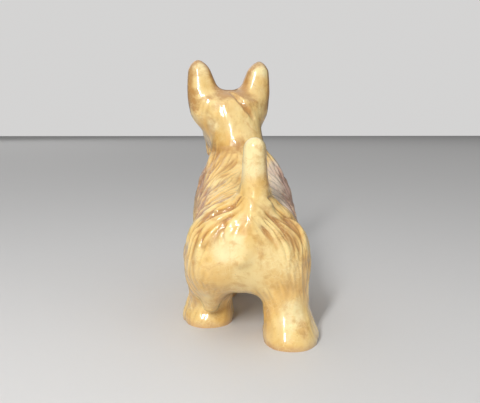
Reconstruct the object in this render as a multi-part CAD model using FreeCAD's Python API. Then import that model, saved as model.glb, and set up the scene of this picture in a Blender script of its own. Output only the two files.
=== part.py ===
"""Slip-cast terrier figurine in glazed earthenware, standing with its head up and turned to its left.

The master form is a set of smooth skins: trunk, neck and head, muzzle, ears, tail and legs. It is hollow,
because the liquid clay is drained out of its plaster moulds. It is then cut where a potter divides such a
form into separate moulds: head, ears, tail and legs come off the torso. Each cut leaves a thin layer of
slip, the liquid clay that joins one casting to the next before firing.
Millimetres. The dog faces -Y with its left side at +X, and stands on the plane Z = 0.
"""
import FreeCAD
import Part

import math
import os

Vec = FreeCAD.Vector

# Driving dimensions
EAR_TIP_HEIGHT = 121.0
CROWN_HEIGHT = 105.0
WITHERS_HEIGHT = 76.0
CROUP_HEIGHT = 58.0
BELLY_HEIGHT = 20.0
TAIL_TIP_HEIGHT = 84.0
TRUNK_BACK = 44.0        # rearmost point of the rump, from the middle of the trunk
TRUNK_FRONT = -44.0      # foremost point of the chest
TRUNK_HALF_WIDTH = 25.0
MUZZLE_LENGTH = 36.5     # from the middle of the skull to the nose
HEAD_TURN_DEG = 11.0     # towards the dog's left
HEAD_OFFSET = 6.5        # of the crown, towards the dog's left
TAIL_OFFSET = -2.0       # of the tail, towards the dog's left
WALL = 4.0               # thickness of the cast clay
SOLE = 5.0               # thickness of clay under a foot's hollow
SLIP = 0.4               # thickness of a slip joint
LEG_JOINT_HEIGHT = 16.0
TAIL_JOINT_HEIGHT = 59.6
NECK_JOINT_HEIGHT = 74.0
NECK_JOINT_TILT_DEG = 20.0
EAR_JOINT_HEIGHT = 104.0  # at the ear's inner side
EAR_JOINT_TILT_DEG = 33.0
DRAIN_RADIUS = 4.5       # hole in the belly for draining and for firing gases

SKULL_CENTRE_Y = -41.0
NECK_CENTRE_Y = -34.0
EAR_INNER_SIDE = 6.0     # from the middle of the head
LOIN_ALONG = 23.0        # in front of the tail, where the back is lower than the tail's joint
PAW_ROOM = 44.0          # length along the dog of the room that one paw is cut in
RING_POLES = 12
# A closed cubic ring lies inside its poles by this much, so the poles stand further out.
RING_GAIN = 3.0 / (2.0 + math.cos(2.0 * math.pi / RING_POLES))
THINNEST = 0.4           # half thickness that a hollow never goes under
FAR = 200.0              # half size of the boxes that cut the form, larger than the whole dog
X_AXIS, Y_AXIS, Z_AXIS = Vec(1, 0, 0), Vec(0, 1, 0), Vec(0, 0, 1)

# Where each leg stands and where it enters the trunk
HIND_LEFT = {"foot": Vec(17.0, 11.0, 0), "hip": Vec(14.7, 27.0, 0), "hind": True}
HIND_RIGHT = {"foot": Vec(-16.8, 36.3, 0), "hip": Vec(-14.0, 28.0, 0), "hind": True}
FORE_LEFT = {"foot": Vec(14.0, -26.0, 0), "hip": Vec(13.0, -27.0, 0), "hind": False}
FORE_RIGHT = {"foot": Vec(-14.0, -34.0, 0), "hip": Vec(-13.0, -29.0, 0), "hind": False}
LEGS = {"leg_hind_left": HIND_LEFT, "leg_hind_right": HIND_RIGHT,
        "leg_fore_left": FORE_LEFT, "leg_fore_right": FORE_RIGHT}


def power(value, exponent):
    return math.copysign(abs(value) ** exponent, value)


def ring(centre, across, over, half_width, half_over, half_under, square=2.0):
    """Poles of one closed section, squarer than an ellipse where square is above 2, with its seam underneath."""
    poles = []
    for i in range(RING_POLES):
        angle = 2.0 * math.pi * i / RING_POLES - math.pi / 2.0
        c = power(math.cos(angle), 2.0 / square)
        s = power(math.sin(angle), 2.0 / square)
        reach = half_over if s > 0 else half_under
        poles.append(centre + across * (half_width * RING_GAIN * c) + over * (reach * RING_GAIN * s))
    return poles


def closed_surface(rows):
    """Solid inside a cubic surface that is closed round its rows and shrinks to a point at both ends."""
    spans = len(rows) - 3
    along = [4] + [1] * (spans - 1) + [4]
    surface = Part.BSplineSurface()
    surface.buildFromPolesMultsKnots(
        rows, along, [1] * (RING_POLES + 1),
        [float(k) for k in range(spans + 1)], [float(k) for k in range(RING_POLES + 1)],
        False, True, 3, 3)
    surface.setVNotPeriodic()
    return Part.Solid(Part.Shell([surface.toShape()]))


def skin(rings):
    """A closed solid over the rings, domed where the first and last rings shrink to a point in their plane."""
    first = sum(rings[0], Vec()) * (1.0 / RING_POLES)
    last = sum(rings[-1], Vec()) * (1.0 / RING_POLES)
    rows = [[first] * RING_POLES] + rings + [[last] * RING_POLES]
    solid = closed_surface(rows)
    if solid.Volume < 0:
        solid = closed_surface([row[::-1] for row in rows])
    return solid


def tube(stations, across, over, inset=0.0):
    """A skin through stations (centre, half width, half over, half under, square), shrunk by inset all round."""
    start, end = stations[0][0], stations[-1][0]
    length = (end - start).Length
    keep = (length - 2.0 * inset) / length
    origin = start + (end - start) * (inset / length)
    rings = []
    for centre, half_width, half_over, half_under, square in stations:
        moved = origin + (centre - start) * keep
        halves = [max(half - inset, THINNEST) for half in (half_width, half_over, half_under)]
        rings.append(ring(moved, across, over, *halves, square))
    return skin(rings)


# Skins of the master form. Each takes the wall that its hollow stands in by, or 0 for the outside.

def trunk(inset=0.0):
    """Barrel of the body from rump to chest, in upright sections."""
    length = TRUNK_BACK - TRUNK_FRONT
    middle = BELLY_HEIGHT + 20.0
    shape = [  # share of the length from the rump, to the left, half width, top, bottom, squareness
        (0.00, 0.0, 10.0, middle + 9.0, middle - 9.0, 2.0),
        (0.04, 0.0, 18.5, CROUP_HEIGHT - 4.0, BELLY_HEIGHT + 1.5, 2.3),
        (0.16, 0.0, TRUNK_HALF_WIDTH - 1.0, CROUP_HEIGHT, BELLY_HEIGHT - 1.5, 2.4),
        (0.35, 0.3, TRUNK_HALF_WIDTH - 1.0, CROUP_HEIGHT + 2.0, BELLY_HEIGHT - 1.5, 2.3),
        (0.55, 0.8, TRUNK_HALF_WIDTH - 0.2, CROUP_HEIGHT + 6.0, BELLY_HEIGHT - 1.0, 2.2),
        (0.75, 1.0, TRUNK_HALF_WIDTH + 1.5, WITHERS_HEIGHT - 3.0, BELLY_HEIGHT - 1.0, 2.3),
        (0.92, 1.0, TRUNK_HALF_WIDTH - 1.0, WITHERS_HEIGHT - 3.0, BELLY_HEIGHT + 2.0, 2.1),
        (1.00, 1.0, 13.0, middle + 14.0, middle - 12.0, 2.0),
    ]
    stations = []
    for share, left, half_width, top, bottom, square in shape:
        centre = Vec(left, TRUNK_BACK - share * length, middle)
        stations.append((centre, half_width, top - middle, middle - bottom, square))
    return tube(stations, X_AXIS, Z_AXIS, inset)


def head_axes():
    """Directions of the head: across it to the dog's left, and straight back."""
    turn = math.radians(HEAD_TURN_DEG)
    return Vec(math.cos(turn), math.sin(turn), 0), Vec(-math.sin(turn), math.cos(turn), 0)


def neck_and_skull(inset=0.0):
    """Column from inside the shoulders to the crown, in level sections that turn with the head."""
    across, back = head_axes()
    shape = [  # height, to the left, along the dog, half width, half back, half front, squareness
        (40.0, 0.0, -24.0, 12.0, 10.0, 10.0, 2.0),
        (52.0, 0.0, -25.0, 19.0, 15.0, 17.0, 2.0),
        (64.0, 0.5, -29.0, 19.0, 15.0, 18.0, 2.0),
        (75.0, 2.5, NECK_CENTRE_Y, 15.0, 14.5, 16.5, 2.1),
        (85.0, 5.0, -38.0, 15.0, 14.5, 16.0, 2.2),
        (95.0, HEAD_OFFSET - 0.5, SKULL_CENTRE_Y + 1.0, 17.0, 14.5, 17.0, 2.3),
        (103.0, HEAD_OFFSET, SKULL_CENTRE_Y, 15.5, 13.0, 15.0, 2.3),
        (CROWN_HEIGHT, HEAD_OFFSET, SKULL_CENTRE_Y, 9.0, 7.0, 9.0, 2.0),
    ]
    stations = []
    for height, left, along, half_width, half_back, half_front, square in shape:
        stations.append((Vec(left, along, height), half_width, half_back, half_front, square))
    return tube(stations, across, back, inset)


def muzzle(inset=0.0):
    """Square muzzle with its beard, from inside the skull to the nose."""
    across, back = head_axes()
    root = Vec(HEAD_OFFSET, SKULL_CENTRE_Y, 84.0)
    shape = [  # share of the length, half width, half over, half under, squareness
        (0.00, 8.0, 9.0, 8.0, 2.0),
        (0.22, 10.5, 10.5, 10.0, 2.3),
        (0.44, 11.0, 9.5, 12.0, 2.5),
        (0.66, 10.2, 7.5, 14.0, 2.7),
        (0.85, 9.2, 7.0, 14.0, 2.7),
        (0.97, 7.2, 6.0, 10.0, 2.3),
        (1.00, 4.0, 4.0, 5.0, 2.0),
    ]
    stations = []
    for share, half_width, half_over, half_under, square in shape:
        stations.append((root - back * (share * MUZZLE_LENGTH), half_width, half_over, half_under, square))
    return tube(stations, across, Z_AXIS, inset)


def ear(side):
    """Solid upright ear with a rounded tip; side is 1 on the dog's left and -1 on its right."""
    across, back = head_axes()
    root = Vec(HEAD_OFFSET, SKULL_CENTRE_Y, 0)
    shape = [  # height, out from the middle of the head, half width, half thickness
        (88.0, 12.0, 4.0, 3.0),
        (91.0, 12.5, 6.5, 5.5),
        (97.0, 13.4, 8.4, 6.5),
        (104.0, 14.6, 8.9, 6.0),
        (111.0, 15.6, 7.8, 5.0),
        (118.0, 16.4, 5.6, 3.8),
        (EAR_TIP_HEIGHT, 16.6, 2.8, 2.0),
    ]
    stations = []
    for height, out, half_width, half_thick in shape:
        centre = root + across * (side * out) + Z_AXIS * height
        stations.append((centre, half_width, half_thick, half_thick, 2.0))
    return tube(stations, across, back)


def tail():
    """Solid upright tail, from inside the croup to its blunt tip."""
    shape = [  # height, along the dog, half width, half depth
        (44.0, 30.0, 7.0, 6.0),
        (50.0, 31.0, 8.5, 8.0),
        (57.0, 33.5, 7.3, 7.5),
        (64.0, 35.5, 5.6, 5.8),
        (72.0, 36.5, 5.0, 5.0),
        (80.0, 36.8, 4.4, 4.2),
        (TAIL_TIP_HEIGHT, 36.8, 2.6, 2.4),
    ]
    stations = []
    for height, along, half_width, half_depth in shape:
        stations.append((Vec(TAIL_OFFSET, along, height), half_width, half_depth, half_depth, 2.0))
    return tube(stations, X_AXIS, Y_AXIS)


def leg(stand, inset=0.0):
    """Leg from its flat sole up into the trunk, in level sections."""
    foot, hip = stand["foot"], stand["hip"]
    top = 50.0 if stand["hind"] else 46.0
    thigh = 3.0 if stand["hind"] else 0.0
    shape = [  # height, share of the way from foot to hip, half width, half back, half front
        (-6.0, 0.0, 10.5, 10.0, 12.0),
        (1.0, 0.0, 11.5, 12.5, 15.0),
        (7.0, 0.1, 10.8, 10.5, 12.0),
        (15.0, 0.45, 9.6 + 0.3 * thigh, 9.5, 9.5 + thigh),
        (24.0, 0.9, 10.5 + 0.6 * thigh, 12.0 + thigh, 12.0 + thigh),
        (34.0, 1.0, 10.5 + 0.8 * thigh, 12.5 + thigh, 14.0 + thigh),
        (top - 4.0, 1.0, 9.5, 11.0, 11.0),
        (top, 1.0, 5.0, 5.0, 5.0),
    ]
    stations = []
    for height, share, half_width, half_back, half_front in shape:
        centre = foot + (hip - foot) * share + Z_AXIS * height
        stations.append((centre, half_width, half_back, half_front, 2.2))
    limb = tube(stations, X_AXIS, Y_AXIS, inset)
    floor = SOLE if inset else 0.0
    return limb.cut(slab(Vec(0, 0, floor), Z_AXIS * -1.0, FAR))


# Boxes that cut the form

def slab(point, normal, thickness):
    """Box of the given thickness whose large face lies on the plane, on the side that normal points to."""
    box = Part.makeBox(2.0 * FAR, 2.0 * FAR, thickness, Vec(-FAR, -FAR, 0))
    box.Placement = FreeCAD.Placement(point, FreeCAD.Rotation(Z_AXIS, normal))
    return box


def joint_cuts():
    """For each casting that leaves the torso: a point on its joint, the way it leaves, and the room it is in."""
    across, back = head_axes()
    cuts = []
    for name, side in (("ear_left", 1.0), ("ear_right", -1.0)):
        tilt = math.radians(EAR_JOINT_TILT_DEG)
        crown = Vec(HEAD_OFFSET, SKULL_CENTRE_Y, EAR_JOINT_HEIGHT)
        room = slab(crown, across * side, FAR)
        cuts.append((name, crown + across * (side * EAR_INNER_SIDE),
                     across * (side * math.sin(tilt)) + Z_AXIS * math.cos(tilt), room))
    tilt = math.radians(NECK_JOINT_TILT_DEG)
    whole = slab(Vec(0, 0, 0), Z_AXIS, FAR)
    cuts.append(("head_casting", Vec(0, NECK_CENTRE_Y, NECK_JOINT_HEIGHT),
                 Vec(0, -math.sin(tilt), math.cos(tilt)), whole))
    behind_loin = slab(Vec(0, LOIN_ALONG, 0), Y_AXIS, FAR)
    cuts.append(("tail", Vec(0, 0, TAIL_JOINT_HEIGHT), Z_AXIS, behind_loin))
    for name, stand in LEGS.items():
        foot = stand["foot"]
        room = Part.makeBox(FAR, PAW_ROOM, LEG_JOINT_HEIGHT + SLIP,
                            Vec(0.0 if foot.x > 0 else -FAR, foot.y - PAW_ROOM / 2.0, 0))
        cuts.append((name, Vec(0, 0, LEG_JOINT_HEIGHT), Z_AXIS * -1.0, room))
    return cuts


def hollow_form():
    """The whole dog in one shell of clay, with its drain hole."""
    outside = trunk().multiFuse([neck_and_skull(), muzzle(), tail(), ear(1), ear(-1)]
                                + [leg(stand) for stand in LEGS.values()])
    hollow = trunk(WALL).multiFuse([neck_and_skull(WALL), muzzle(WALL)]
                                   + [leg(stand, WALL) for stand in LEGS.values()])
    drain = Part.makeCylinder(DRAIN_RADIUS, BELLY_HEIGHT + 10.0, Vec(0, -4.0, 5.0))
    return outside.cut(hollow.fuse(drain))


def castings():
    """Every casting and slip joint by name, cut from the hollow form."""
    pieces = {}
    rest = hollow_form()
    for name, point, leaves, room in joint_cuts():
        beyond = slab(point, leaves, FAR).common(room)
        layer = slab(point, leaves * -1.0, SLIP).common(room)
        pieces[name] = rest.common(beyond)
        pieces[name.replace("head_casting", "neck") + "_slip_joint"] = rest.common(layer)
        rest = rest.cut(beyond.fuse(layer))
    pieces["torso_casting"] = rest
    return pieces


def main():
    os.makedirs("parts", exist_ok=True)
    pieces = castings()
    box = FreeCAD.BoundBox()
    for piece in pieces.values():
        box.add(piece.optimalBoundingBox(False))
    to_middle = Vec(-box.Center.x, -box.Center.y, 0)
    for name, piece in pieces.items():
        piece.translate(to_middle)
        if len(piece.Solids) != 1 or not piece.isValid():
            raise ValueError(f"{name} has {len(piece.Solids)} solids, valid {piece.isValid()}")
        solid = piece.Solids[0]
        solid.exportStep(f"parts/{name}.step")
        print(f"{name:28s} {solid.Volume:10.1f} mm3")
    print("moved by", to_middle, "whole size", box.XLength, box.YLength, box.ZMin, box.ZMax)


main()
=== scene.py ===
"""Glazed earthenware terrier figurine: carved castings, coat relief, crazed honey glaze, and a plain studio.

The form is modelled as a field, the distance to the clay's surface, in millimetres of the dog's own frame:
+X is the dog's left, the dog faces -Y, and the feet stand on Z = 0. Each casting is a piece of that field,
combed along the coat, hollowed, and cut where the potter's castings meet.
"""
import math

import bpy
import numpy as np
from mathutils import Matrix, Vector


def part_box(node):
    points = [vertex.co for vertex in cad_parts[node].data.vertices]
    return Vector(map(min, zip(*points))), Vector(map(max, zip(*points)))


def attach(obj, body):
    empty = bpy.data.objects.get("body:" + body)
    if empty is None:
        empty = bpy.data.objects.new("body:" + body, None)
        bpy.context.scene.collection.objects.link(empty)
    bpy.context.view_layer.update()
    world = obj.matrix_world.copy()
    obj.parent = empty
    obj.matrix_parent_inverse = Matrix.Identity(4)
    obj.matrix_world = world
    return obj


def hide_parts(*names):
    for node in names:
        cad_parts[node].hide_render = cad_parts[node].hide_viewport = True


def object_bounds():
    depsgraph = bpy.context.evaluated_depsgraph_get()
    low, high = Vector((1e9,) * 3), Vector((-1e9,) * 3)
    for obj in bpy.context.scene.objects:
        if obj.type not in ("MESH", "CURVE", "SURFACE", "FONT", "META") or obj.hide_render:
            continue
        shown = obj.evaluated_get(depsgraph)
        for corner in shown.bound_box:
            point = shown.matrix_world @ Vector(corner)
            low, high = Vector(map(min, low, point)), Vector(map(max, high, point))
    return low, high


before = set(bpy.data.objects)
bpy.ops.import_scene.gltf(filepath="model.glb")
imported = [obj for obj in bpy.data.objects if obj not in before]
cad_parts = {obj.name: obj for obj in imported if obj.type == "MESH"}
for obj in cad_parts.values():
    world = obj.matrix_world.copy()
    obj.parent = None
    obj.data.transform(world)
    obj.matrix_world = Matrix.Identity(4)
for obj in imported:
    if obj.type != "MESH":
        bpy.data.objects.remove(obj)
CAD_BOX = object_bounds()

import openvdb
from bpy.props import FloatProperty, FloatVectorProperty, PointerProperty
from mathutils import Vector
from mathutils.kdtree import KDTree

bl_info = {
    "name": "Terrier Figurine",
    "version": (1, 0, 0),
    "blender": (4, 5, 0),
    "location": "View3D > Sidebar > Figurine",
    "description": "Builds a glazed earthenware terrier figurine from its castings",
    "category": "Add Mesh",
}

MM = 0.001
TAIL_OFFSET = -2.0         # of the tail from the middle of the dog, towards its left
TAIL_ALONG = 34.11         # of the tail's root, behind the middle of the trunk
WALL = 4.0
SOLE = 5.0
SLIP = 0.4
OUTSIDE = 50.0             # distance given to points that no form is near
SEED = 7


def frame_origin():
    """Middle of the dog's own frame on the floor, in metres of the CAD frame."""
    low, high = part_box("tail_slip_joint")
    middle = (low + high) * 0.5
    return Vector((middle.x - TAIL_OFFSET * MM, middle.y - TAIL_ALONG * MM, 0.0))


ORIGIN = frame_origin()


# Fields: every function takes points x, y, z in millimetres and gives the distance to a surface

def smooth_table(stations, at):
    """Columns of a table of stations, followed smoothly along its first column."""
    table = np.array(stations, float)
    keys, values = table[:, 0], table[:, 1:]
    slopes = np.gradient(values, keys, axis=0)
    i = np.clip(np.searchsorted(keys, at) - 1, 0, len(keys) - 2)
    span = keys[i + 1] - keys[i]
    t = np.clip((at - keys[i]) / span, 0.0, 1.0)
    columns = []
    for c in range(values.shape[1]):
        start, end = values[i, c], values[i + 1, c]
        first, last = slopes[i, c] * span, slopes[i + 1, c] * span
        curve = (start * (1 + 2 * t) * (1 - t) ** 2 + first * t * (1 - t) ** 2
                 + end * t ** 2 * (3 - 2 * t) + last * t ** 2 * (t - 1))
        columns.append(curve.astype(np.float32))
    return columns


def section(u, v, at, ends, caps, half_u, half_over, half_under, square):
    """Distance to a form with rounded square sections and domed ends, u across and v over its middle line."""
    first, last = ends[0] + caps[0], ends[1] - caps[1]
    into = np.maximum(np.maximum(first - at, at - last), 0.0)
    cap = np.where(at < first, caps[0], caps[1])
    half_v = np.where(v > 0, half_over, half_under)
    reach = np.sqrt(u * u + v * v + into * into) + 1e-6
    flat = ((np.abs(u) / half_u) ** square + (np.abs(v) / half_v) ** square) ** (1.0 / square)
    shape = np.sqrt(flat * flat + (into / cap) ** 2) + 1e-6
    return reach - reach / shape


def ellipsoid(x, y, z, centre, radii, turn=0.0):
    """Distance to an egg, turned about Z by an angle in radians."""
    dx, dy, dz = x - centre[0], y - centre[1], z - centre[2]
    c, s = math.cos(turn), math.sin(turn)
    dx, dy = dx * c + dy * s, dy * c - dx * s
    reach = np.sqrt(dx * dx + dy * dy + dz * dz) + 1e-6
    shape = np.sqrt((dx / radii[0]) ** 2 + (dy / radii[1]) ** 2 + (dz / radii[2]) ** 2) + 1e-6
    return reach - reach / shape


def rod(x, y, z, start, end, start_radius, end_radius):
    """Distance to a round rod that tapers from one end to the other."""
    run = [end[i] - start[i] for i in range(3)]
    length = sum(r * r for r in run)
    t = ((x - start[0]) * run[0] + (y - start[1]) * run[1] + (z - start[2]) * run[2]) / length
    t = np.clip(t, 0.0, 1.0)
    dx, dy, dz = x - start[0] - t * run[0], y - start[1] - t * run[1], z - start[2] - t * run[2]
    return np.sqrt(dx * dx + dy * dy + dz * dz) - (start_radius + t * (end_radius - start_radius))


def melt(a, b, soft):
    """Two forms pressed together, with a fillet between them."""
    h = np.clip(0.5 + 0.5 * (b - a) / soft, 0.0, 1.0)
    return b * (1 - h) + a * h - soft * h * (1 - h)


def eight_samples(t):
    """Which side each of the eight samples round a point is on, and its share, from how far on the point is."""
    for corner in range(8):
        bits = (corner & 1, corner >> 1 & 1, corner >> 2 & 1)
        share = np.ones(len(t), np.float32)
        for axis in range(3):
            share *= t[:, axis] if bits[axis] else 1.0 - t[:, axis]
        yield bits, share


class Clay:
    """A block of sample points, and the form modelled in it so far."""

    def __init__(self, low, high, cell):
        self.cell = cell
        self.low = np.array(low, np.float32)
        counts = [int(math.ceil((high[i] - low[i]) / cell)) + 1 for i in range(3)]
        self.axes = [self.low[i] + cell * np.arange(counts[i], dtype=np.float32) for i in range(3)]
        self.field = np.full(counts, OUTSIDE, np.float32)

    def block(self, low, high):
        """The part of the block between two corners: its slices and its points, or nothing."""
        slices = []
        for i in range(3):
            start = max(int(math.floor((low[i] - self.low[i]) / self.cell)), 0)
            stop = min(int(math.ceil((high[i] - self.low[i]) / self.cell)) + 1, len(self.axes[i]))
            if stop - start < 2:
                return None
            slices.append(slice(start, stop))
        x = self.axes[0][slices[0]][:, None, None]
        y = self.axes[1][slices[1]][None, :, None]
        z = self.axes[2][slices[2]][None, None, :]
        return tuple(slices), x, y, z

    def press(self, form, low, high, soft, sense=1.0):
        """Adds a form to the clay, or takes it out where sense is -1; low and high are a box round it."""
        room = 1.5 * soft + 1.0
        found = self.block([v - room for v in low], [v + room for v in high])
        if found:
            slices, x, y, z = found
            self.field[slices] = sense * melt(sense * self.field[slices], form(x, y, z), soft)

    def egg(self, centre, radii, soft, turn=0.0, sense=1.0):
        reach = max(radii)
        self.press(lambda x, y, z: ellipsoid(x, y, z, centre, radii, turn),
                   [c - reach for c in centre], [c + reach for c in centre], soft, sense)

    def rod(self, start, end, start_radius, end_radius, soft, sense=1.0):
        reach = max(start_radius, end_radius)
        self.press(lambda x, y, z: rod(x, y, z, start, end, start_radius, end_radius),
                   [min(a, b) - reach for a, b in zip(start, end)],
                   [max(a, b) + reach for a, b in zip(start, end)], soft, sense)

    def sample(self, array, points):
        """Values of an array of this block at points, mixed from the eight samples round each."""
        at = (points - self.low) / self.cell
        top = np.array(self.field.shape) - 1.001
        at = np.clip(at, 0.0, top)
        i = at.astype(np.int32)
        t = (at - i).astype(np.float32)
        sy, sx = array.shape[2], array.shape[1] * array.shape[2]
        flat = array.reshape(-1)
        base = i[:, 0] * sx + i[:, 1] * sy + i[:, 2]
        total = np.zeros(len(points), np.float32)
        for bits, share in eight_samples(t):
            total += share * flat[base + bits[0] * sx + bits[1] * sy + bits[2]]
        return total

    def outwards(self, points):
        """Unit directions away from the clay at points near its surface."""
        step = self.cell
        parts = []
        for axis in range(3):
            shift = np.zeros(3, np.float32)
            shift[axis] = step
            parts.append(self.sample(self.field, points + shift) - self.sample(self.field, points - shift))
        normal = np.stack(parts, 1)
        return normal / (np.linalg.norm(normal, axis=1, keepdims=True) + 1e-9)

    def surface(self):
        """Points and quads of the clay's surface."""
        grid = openvdb.FloatGrid(OUTSIDE)
        band = 4.0 * self.cell
        grid.copyFromArray(np.clip(self.field, -band, band))
        points, quads = grid.convertToQuads(0.0)
        return points.astype(np.float32) * self.cell + self.low, quads


# The master form of the dog

HEAD_TURN = math.radians(11.0)
HEAD_SIDE, HEAD_ALONG = 6.5, -41.0
BODY_MIDDLE = 40.0             # height of the trunk's middle line
MIDDLE = 0.3                   # of the trunk, to the dog's left

TRUNK = [  # along the dog, to its left, half width, top, bottom, squareness
    (-46.0, 0.6, 21.5, 66.0, 25.0, 2.1),
    (-37.0, 0.0, 23.2, 71.0, 21.0, 2.2),
    (-22.0, -0.1, 24.8, 72.5, 19.0, 2.3),
    (-4.0, 0.0, 24.0, 65.0, 18.5, 2.25),
    (13.0, 0.5, 23.4, 60.0, 18.8, 2.15),
    (28.0, 0.9, 22.8, 58.2, 19.0, 2.05),
    (45.0, 1.0, 22.4, 56.0, 19.5, 2.05),
]
NECK = [  # height, to the left, along, half width, half back, half front, squareness
    (38.0, 0.0, -24.0, 12.0, 10.0, 12.0, 2.0),
    (52.0, 0.0, -25.0, 18.5, 14.0, 20.0, 2.0),
    (64.0, 0.5, -29.0, 18.0, 14.0, 19.0, 2.0),
    (75.0, 2.1, -34.0, 14.3, 14.5, 16.5, 2.1),
    (85.0, 3.8, -38.0, 13.7, 14.5, 15.0, 2.2),
    (95.0, 6.0, -40.0, 15.2, 14.0, 15.0, 2.2),
    (106.5, 6.5, -41.0, 15.0, 10.5, 12.5, 2.2),
]
LEG_HIND = [  # height, share of the way from foot to hip, half width, half back, half front
    (-3.0, 0.0, 10.6, 12.0, 14.0),
    (2.0, 0.0, 10.9, 12.6, 14.6),
    (7.0, 0.1, 10.3, 11.2, 12.5),
    (14.0, 0.42, 9.6, 10.4, 11.0),
    (21.0, 0.75, 10.5, 12.4, 13.0),
    (30.0, 1.0, 12.1, 15.0, 16.5),
    (40.0, 1.0, 11.2, 14.5, 15.5),
    (50.0, 1.0, 8.0, 12.0, 12.0),
]
LEG_FORE = [
    (-3.0, 0.0, 10.4, 11.0, 13.0),
    (2.0, 0.0, 10.8, 11.6, 13.8),
    (7.0, 0.1, 10.0, 10.2, 11.5),
    (15.0, 0.45, 9.3, 9.8, 9.8),
    (24.0, 0.9, 10.4, 12.0, 12.0),
    (36.0, 1.0, 11.0, 13.0, 13.0),
    (50.0, 1.0, 9.0, 12.0, 12.0),
]
TAIL = [  # height, along, half width, half depth
    (44.0, 31.0, 8.5, 8.0),
    (55.0, 33.0, 7.9, 7.8),
    (60.0, 34.4, 6.8, 6.6),
    (66.0, 35.6, 5.5, 5.6),
    (73.0, 36.6, 4.9, 4.9),
    (78.0, 36.9, 4.6, 4.4),
    (83.4, 37.2, 4.2, 4.0),
]
EAR = [  # height, out from the middle of the head, half width, half thickness
    (86.0, 12.0, 6.0, 5.5),
    (95.0, 12.6, 8.6, 8.0),
    (103.0, 13.9, 8.5, 7.4),
    (111.0, 15.3, 7.1, 6.2),
    (117.0, 16.3, 5.6, 5.0),
    (121.5, 16.9, 4.2, 4.0),
]
RIGHT_EAR_IN = 0.9             # the right ear stands this much nearer to the middle
EAR_FOLD = [(0.5, -8.6, 104.6), (-2.5, -12.6, 100.5), (-6.0, -14.4, 96.0), (-9.0, -14.6, 92.0)]
EYE = (6.9, 14.6, 93.2)        # left or right of the head's middle, forward and height
EYE_PAINT = (3.1, 3.4, 2.8)
NOSE = (0.0, 35.4, 89.4)
NOSE_PAINT = (4.8, 3.4, 3.7)
LEGS = {
    "leg_hind_left": {"foot": (17.0, 11.0), "hip": (14.7, 27.0), "hind": True, "waist": 0.36},
    "leg_hind_right": {"foot": (-16.8, 36.3), "hip": (-14.0, 28.0), "hind": True, "waist": 0.0},
    "leg_fore_left": {"foot": (14.0, -26.0), "hip": (13.0, -27.0), "hind": False, "waist": 0.0},
    "leg_fore_right": {"foot": (-14.0, -34.0), "hip": (-13.0, -29.0), "hind": False, "waist": 0.0},
}


def head_axes(dx, dy):
    """An offset measured across the head, to its left, and out behind it."""
    c, s = math.cos(HEAD_TURN), math.sin(HEAD_TURN)
    return dx * c + dy * s, dy * c - dx * s


def head_point(left, forward, height):
    """A place given from the middle of the head: to its left, forward and up."""
    c, s = math.cos(HEAD_TURN), math.sin(HEAD_TURN)
    return (HEAD_SIDE + left * c + forward * s, HEAD_ALONG + left * s - forward * c, height)


def trunk_field(x, y, z):
    left, half, top, bottom, square = smooth_table(TRUNK, y)
    return section(x - left, z - BODY_MIDDLE, y, (-46.0, 45.0), (14.0, 13.0), half, top - BODY_MIDDLE,
                   BODY_MIDDLE - bottom, square)


def neck_field(x, y, z):
    left, along, half, back, front, square = smooth_table(NECK, z)
    across, behind = head_axes(x - left, y - along)
    return section(across, behind, z, (38.0, 106.0), (8.0, 6.5), half, back, front, square)


def tail_field(x, y, z):
    along, half, deep = smooth_table(TAIL, z)
    return section(x - TAIL_OFFSET, y - along, z, (44.0, 83.4), (8.0, 4.2), half, deep, deep, 2.0)


def leg_field(x, y, z, stand):
    stations = LEG_HIND if stand["hind"] else LEG_FORE
    share, half, back, front = smooth_table(stations, z)
    foot, hip = stand["foot"], stand["hip"]
    back = back * (1.0 - stand["waist"] * np.exp(-((z - 11.0) / 6.0) ** 2))
    left = foot[0] + (hip[0] - foot[0]) * share
    along = foot[1] + (hip[1] - foot[1]) * share
    return section(x - left, y - along, z, (-4.0, stations[-1][0]), (1.0, 20.0), half, back, front, 2.2)


def ear_field(x, y, z, side):
    out, half, thick = smooth_table(EAR, z)
    across, behind = head_axes(x - HEAD_SIDE, y - HEAD_ALONG)
    across = across - side * out - max(-side, 0.0) * RIGHT_EAR_IN
    return section(across, behind, z, (86.0, 121.5), (8.0, 6.0), half, thick, thick, 2.0)


def model_body(clay):
    """Trunk, neck, and the tail with the ridge under it."""
    clay.press(trunk_field, (-28, -46, 15), (28, 45, 74), 1.0)
    clay.press(neck_field, (-22, -62, 38), (30, -8, 107), 9.0)
    clay.press(tail_field, (-12, 20, 44), (8, 46, 86), 6.0)
    clay.rod((TAIL_OFFSET, 36.4, 57.0), (3.4, 43.6, 36.0), 5.2, 2.2, 4.0)


def model_leg(clay, stand):
    """One leg with its paw and its toes, and the hock where the leg stands forward."""
    foot, hip = stand["foot"], stand["hip"]
    low = (min(foot[0], hip[0]) - 14, min(foot[1], hip[1]) - 18, -4)
    high = (max(foot[0], hip[0]) + 14, max(foot[1], hip[1]) + 18, 57)
    clay.press(lambda x, y, z: leg_field(x, y, z, stand), low, high, 7.0)
    side = 1.0 if foot[0] > 0 else -1.0
    if stand["hind"] and foot[1] < hip[1]:
        clay.rod((hip[0] - 0.5, hip[1] + 4.0, 29.0), (foot[0] - 1.2, hip[1] - 2.8, 11.5), 10.5, 3.6, 3.0)
    clay.egg((foot[0] + side * 1.2, foot[1] - 4.0, 2.6), (10.4, 12.0, 5.2), 4.5)
    for i in range(4):
        spread = (i - 1.5) * 5.0
        clay.egg((foot[0] + side * 0.8 + spread, foot[1] - 13.2 + 0.05 * spread * spread, 2.8),
                     (2.8, 4.4, 3.9), 1.4)


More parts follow.
